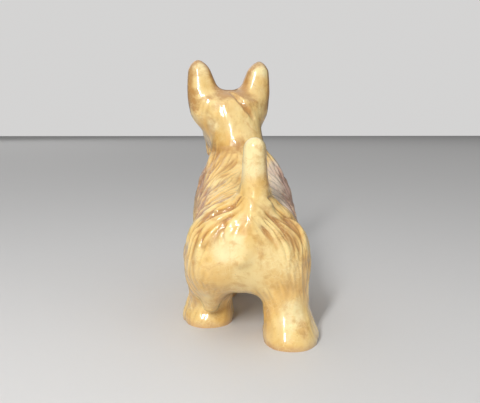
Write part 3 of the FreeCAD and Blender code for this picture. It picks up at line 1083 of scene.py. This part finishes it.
def glaze_sprays(shade, colours, colour, patch):
    """Painted shade as a grey cast on the right flank, the sprayed flanks and beard, and the brown of the rims
    and folds, partly painted shade.
    """
    # painted shade: a grey cast on the right flank
    shadow_mist = shade.between(shade.maths("MULTIPLY_ADD", patch, 0.6, shade.attribute("right_side_shade")), 0.5, 1.1)
    colour = shade.cover(colour, colours.shadow_lilac, shadow_mist, 0.8)
    streak = shade.maths("MULTIPLY_ADD", shade.attribute("height"), -0.45, patch)
    brushed = shade.between(shade.maths("ADD", shade.attribute("spray"), streak), 0.66, 1.45)
    colour = shade.cover(colour, colours.mauve, brushed, 0.72)
    # brown rims and folds, with painted shade on the head's sideways edges and the tail's right side
    edge = shade.between(shade.maths("MULTIPLY_ADD", patch, 1.9, shade.attribute("rims_and_shade")), 0.9, 1.75)
    return shade.cover(colour, colours.russet, edge, 0.8)


def glaze_wear(shade, colours, colour, place, patch):
    """Specks, the bare edge of the feet, and the crazing."""
    speck = shade.between(shade.noise(place, 1.9, 1.0), 0.735, 0.76)
    colour = shade.cover(colour, colours.umber, speck, 0.55)
    above = shade.nodes.new("ShaderNodeSeparateXYZ")
    shade.put(above.inputs[0], place)
    worn = shade.between(shade.maths("MULTIPLY_ADD", patch, -3.0, above.outputs["Z"]), -1.6, 1.8, 1.0, 0.0)
    colour = shade.cover(colour, colours.foot, worn, 0.5)
    cracks = use_group(shade, crazing_group(), Place=place,
                       Cell_size=colours.crazing_size, Width=CRACK_WIDTH).outputs["Crack"]
    seen = shade.between(shade.noise(place, 0.09, 2.0), 0.4, 0.65)
    return shade.cover(colour, colours.pale, shade.maths("MULTIPLY", cracks, seen), 0.4)


def honey_glaze():
    """Clear gloss glaze over honey, cream and sprayed mauve, darker where it pools and finely crazed, with
    painted highlights and painted shade.
    """
    colours = bpy.context.scene.terrier_glaze
    material, shader, shade = new_material("honey_glaze")
    place = shade.millimetres()
    patch = shade.noise(place, 0.16, 4.0, 0.6, 0.6)
    colour = glaze_clouds(shade, colours, place, patch)
    colour = glaze_sprays(shade, colours, colour, patch)
    colour = glaze_wear(shade, colours, colour, place, patch)
    for side in (-1.0, 1.0):
        eye = painted_egg(shade, place, head_point(side * EYE[0], EYE[1], EYE[2]), EYE_PAINT)
        colour = shade.mix(eye, colour, tuple(colours.enamel))
    nose = painted_egg(shade, place, head_point(*NOSE), NOSE_PAINT)
    colour = shade.mix(nose, colour, tuple(colours.enamel))
    shade.put(shader.inputs["Base Color"], colour)
    shade.put(shader.inputs["Roughness"], shade.between(patch, 0.3, 0.7, 0.28, 0.42))
    shader.inputs["Coat Weight"].default_value = 1.0
    shader.inputs["Coat Roughness"].default_value = 0.07
    shader.inputs["Coat IOR"].default_value = 1.55
    shade.put(shader.inputs["Normal"], shade.bump(shade.noise(place, 0.9, 2.0), 0.12, 0.0004))
    return material


def bare_clay():
    """Unglazed buff earthenware, inside the castings and under the feet."""
    material, shader, shade = new_material("bare_earthenware")
    place = shade.millimetres()
    coarse, fine = shade.noise(place, 0.5, 3.0), shade.noise(place, 4.0, 3.0, 0.7)
    grain = shade.maths("MULTIPLY_ADD", fine, 0.5, shade.maths("MULTIPLY", coarse, 0.5))
    shade.put(shader.inputs["Base Color"], shade.mix(grain, DAMP_CLAY, DRY_CLAY))
    shader.inputs["Roughness"].default_value = 0.85
    shade.put(shader.inputs["Normal"], shade.bump(grain, 0.3, 0.0003))
    return material


def studio_paper():
    """Pale matt paper under the figurine."""
    material, shader, _ = new_material("studio_paper")
    shader.inputs["Base Color"].default_value = (*bpy.context.scene.terrier_studio.paper, 1.0)
    shader.inputs["Roughness"].default_value = 0.7
    return material


# Settings that a user would change

class CoatSettings(bpy.types.PropertyGroup):
    fineness: FloatProperty(name="Fineness", description="Size of a face of the mesh, in millimetres",
                            default=0.52, min=0.4, max=3.0)
    lock_depth: FloatProperty(name="Lock depth", description="Depth of the broad locks, in millimetres",
                              default=0.85, min=0.0, max=2.0)
    strand_depth: FloatProperty(name="Strand depth", description="Depth of the fine strands, in millimetres",
                                default=0.28, min=0.0, max=1.0)
    tool_marks: FloatProperty(name="Tool marks", description="Unevenness left by the modeller's hand",
                              default=0.55, min=0.0, max=2.0)


def colour_property(name, description, default):
    return FloatVectorProperty(name=name, description=description, subtype="COLOR", size=4,
                               min=0.0, max=1.0, default=(*default, 1.0))


class GlazeSettings(bpy.types.PropertyGroup):
    honey: colour_property("Honey", "Main colour of the glaze", (0.80, 0.49, 0.135))
    cream: colour_property("Cream", "Colour where the glaze is thin", (0.90, 0.69, 0.30))
    # pale is also the colour of the painted highlights
    pale: colour_property("Pale", "Colour where the glaze ran thin, and of the crazing", (0.96, 0.83, 0.45))
    caramel: colour_property("Caramel", "Colour where the glaze pools in the coat", (0.42, 0.18, 0.035))
    amber: colour_property("Amber", "Colour of the warm patches", (0.72, 0.37, 0.065))
    mauve: colour_property("Mauve", "Sprayed colour in the grooves of flanks and beard", (0.34, 0.16, 0.12))
    # the lilac is painted shade: a grey cast on the right flank
    shadow_lilac: colour_property("Lilac", "Thin mist of the sprayed colour, on the right flank", (0.60, 0.50, 0.44))
    # russet is partly painted shade, on the head's sideways edges and the tail's right side
    russet: colour_property("Russet", "Brown at the ears' rims and in the folds", (0.46, 0.21, 0.05))
    umber: colour_property("Umber", "Brown of the specks", (0.28, 0.14, 0.06))
    foot: colour_property("Foot", "Bare tan edge where the feet were wiped", (0.50, 0.27, 0.15))
    enamel: colour_property("Enamel", "Painted eyes and nose", (0.02, 0.012, 0.01))
    crazing_size: FloatProperty(name="Crazing size", default=2.6, min=0.5, max=10.0,
                                description="Width of a cell of the crazing, in millimetres")


class StudioSettings(bpy.types.PropertyGroup):
    paper: FloatVectorProperty(name="Paper", description="Colour of the floor", subtype="COLOR", size=3,
                               min=0.0, max=1.0, default=(0.66, 0.655, 0.65))
    brightness: FloatProperty(name="Brightness", description="Of all the lamps together", default=1.0, min=0.0)
    camera_place: FloatVectorProperty(name="Camera place", description="Where the camera stands",
                                      subtype="TRANSLATION", unit="LENGTH", size=3,
                                      default=(0.01014, 0.2555, 0.088))
    camera_tilt: FloatProperty(name="Camera tilt", description="How far the camera looks down", subtype="ANGLE",
                               default=math.radians(8.37))
    camera_turn: FloatProperty(name="Camera turn", subtype="ANGLE", default=math.radians(2.0),
                               description="How far the camera looks past straight along the dog")
    lens: FloatProperty(name="Lens", description="Focal length in millimetres on a 36 mm frame",
                        default=39.0, min=10.0, max=200.0)


# Studio

FLOOR_REACH = 4.0              # in metres
LAMPS = {  # place and size in metres, and power in watts
    "key": ((0.2, 0.54, 0.4), 0.065, 0.3, 3.4),
    "fill": ((-0.65, 0.35, 0.35), 0.5, 0.5, 0.3),
    "front": ((1.2, -2.4, 1.4), 2.0, 2.0, 8.2),
    "ceiling": ((0.0, 0.0, 3.0), 8.0, 8.0, 85.0),
}
WORLD_LIGHT = 0.20             # strength of the background as a light, where 1 is how it is seen


def make_floor():
    points = np.array([(-1, -1, 0), (1, -1, 0), (1, 1, 0), (-1, 1, 0)]) * FLOOR_REACH
    mesh = mesh_of("floor", (points - np.array(ORIGIN)) / MM, np.array([[0, 1, 2, 3]]))
    mesh.materials.append(studio_paper())
    linked("floor", mesh)


def make_light(name, place, width, height, power, middle):
    lamp = bpy.data.lights.new(name, "AREA")
    lamp.shape = "ELLIPSE"
    lamp.size = width
    lamp.size_y = height
    lamp.energy = power
    light = linked(name, lamp)
    light.location = place
    light.rotation_euler = (middle - Vector(place)).to_track_quat("-Z", "Y").to_euler()


def make_camera(studio):
    camera = bpy.data.cameras.new("camera")
    camera.lens = studio.lens
    camera.sensor_width = 36.0
    camera.clip_start = 0.01
    view = linked("camera", camera)
    view.location = studio.camera_place
    view.rotation_euler = (math.pi / 2 - studio.camera_tilt, 0.0, math.pi - studio.camera_turn)
    bpy.context.scene.camera = view


# Operators: one for each kind of casting, one for the slip joints and one for the stage

def finish_branch(name):
    """An ear, a tail or a leg, from its joint outwards."""
    finish_piece(name + "_glazed", piece_of_dog(name, room(name, 0.0, FAR)), name)


class TERRIER_OT_torso(bpy.types.Operator):
    """Model the torso casting, with its joints' faces, its hollow and its drain hole"""
    bl_idname = "terrier.torso"
    bl_label = "Torso casting"

    def execute(self, context):
        spaces = [room("head_casting", -SLIP, FAR), room("tail", -SLIP, FAR),
                  box_mesh((-FAR, -FAR, -FAR), (FAR, FAR, LEG_JOINT_HEIGHT + SLIP))]
        finish_piece("torso_glazed", piece_of_dog("torso", None, spaces), "torso_casting")
        return {"FINISHED"}


class TERRIER_OT_head(bpy.types.Operator):
    """Model the head casting, from the neck's joint to the crown"""
    bl_idname = "terrier.head"
    bl_label = "Head casting"

    def execute(self, context):
        ears = [room(name, -SLIP, FAR) for name in EAR_SIDES]
        mesh = piece_of_dog("head", room("head_casting", 0.0, FAR), ears)
        finish_piece("head_glazed", mesh, "head_casting")
        return {"FINISHED"}


class TERRIER_OT_ears(bpy.types.Operator):
    """Model the two ears, each cupped in front"""
    bl_idname = "terrier.ears"
    bl_label = "Ears"

    def execute(self, context):
        for name in EAR_SIDES:
            finish_branch(name)
        return {"FINISHED"}


class TERRIER_OT_tail(bpy.types.Operator):
    """Model the upright tail"""
    bl_idname = "terrier.tail"
    bl_label = "Tail"

    def execute(self, context):
        finish_branch("tail")
        return {"FINISHED"}


class TERRIER_OT_legs(bpy.types.Operator):
    """Model the four legs with their paws, wiped flat underneath"""
    bl_idname = "terrier.legs"
    bl_label = "Legs"

    def execute(self, context):
        for name in LEGS:
            finish_branch(name)
        return {"FINISHED"}


class TERRIER_OT_slip_joints(bpy.types.Operator):
    """Model the layers of slip that join the castings, wiped level with them"""
    bl_idname = "terrier.slip_joints"
    bl_label = "Slip joints"

    def execute(self, context):
        for name in BRANCHES:
            node = name.replace("head_casting", "neck") + "_slip_joint"
            mesh = piece_of_dog(node, room(name, -SLIP, 0.0))
            finish_piece(node.replace("joint", "layer"), mesh, node)
        return {"FINISHED"}


class TERRIER_OT_stage(bpy.types.Operator):
    """Make the paper floor, the lights and the camera"""
    bl_idname = "terrier.stage"
    bl_label = "Stage"

    def execute(self, context):
        scene = context.scene
        studio = scene.terrier_studio
        middle = Vector([(CAD_BOX[0][i] + CAD_BOX[1][i]) * 0.5 for i in range(3)])
        make_floor()
        for name, (place, width, height, power) in LAMPS.items():
            make_light(name, place, width, height, power * studio.brightness, middle)
        world = bpy.data.worlds.new("studio")
        world.use_nodes = True
        world.node_tree.nodes["Background"].inputs["Color"].default_value = (*studio.paper, 1.0)
        seen = world.node_tree.nodes.new("ShaderNodeMapRange")
        seen.inputs["To Min"].default_value = WORLD_LIGHT
        seen.inputs["To Max"].default_value = 1.0
        path = world.node_tree.nodes.new("ShaderNodeLightPath")
        world.node_tree.links.new(path.outputs["Is Camera Ray"], seen.inputs["Value"])
        strength = world.node_tree.nodes["Background"].inputs["Strength"]
        world.node_tree.links.new(seen.outputs["Result"], strength)
        scene.world = world
        make_camera(studio)
        scene.view_settings.view_transform = "Standard"
        return {"FINISHED"}


class TERRIER_PT_panel(bpy.types.Panel):
    """Sizes, colours and steps of the figurine"""
    bl_idname = "TERRIER_PT_panel"
    bl_label = "Terrier figurine"
    bl_space_type = "VIEW_3D"
    bl_region_type = "UI"
    bl_category = "Figurine"

    def draw(self, context):
        scene = context.scene
        for settings in (scene.terrier_coat, scene.terrier_glaze, scene.terrier_studio):
            box = self.layout.box()
            for key in settings.__annotations__:
                box.prop(settings, key)
        for step in STEPS:
            self.layout.operator(step.bl_idname)


STEPS = [TERRIER_OT_torso, TERRIER_OT_head, TERRIER_OT_ears, TERRIER_OT_tail, TERRIER_OT_legs,
         TERRIER_OT_slip_joints, TERRIER_OT_stage]
GROUPS = {"terrier_coat": CoatSettings, "terrier_glaze": GlazeSettings, "terrier_studio": StudioSettings}


def register():
    for kind in (*GROUPS.values(), *STEPS, TERRIER_PT_panel):
        bpy.utils.register_class(kind)
    for key, kind in GROUPS.items():
        setattr(bpy.types.Scene, key, PointerProperty(type=kind))


def unregister():
    for key in GROUPS:
        delattr(bpy.types.Scene, key)
    for kind in (TERRIER_PT_panel, *reversed(STEPS), *reversed(list(GROUPS.values()))):
        bpy.utils.unregister_class(kind)


def main():
    register()
    bpy.ops.terrier.torso()
    bpy.ops.terrier.head()
    bpy.ops.terrier.ears()
    bpy.ops.terrier.tail()
    bpy.ops.terrier.legs()
    bpy.ops.terrier.slip_joints()
    bpy.ops.terrier.stage()


if __name__ == "__main__":
    main()
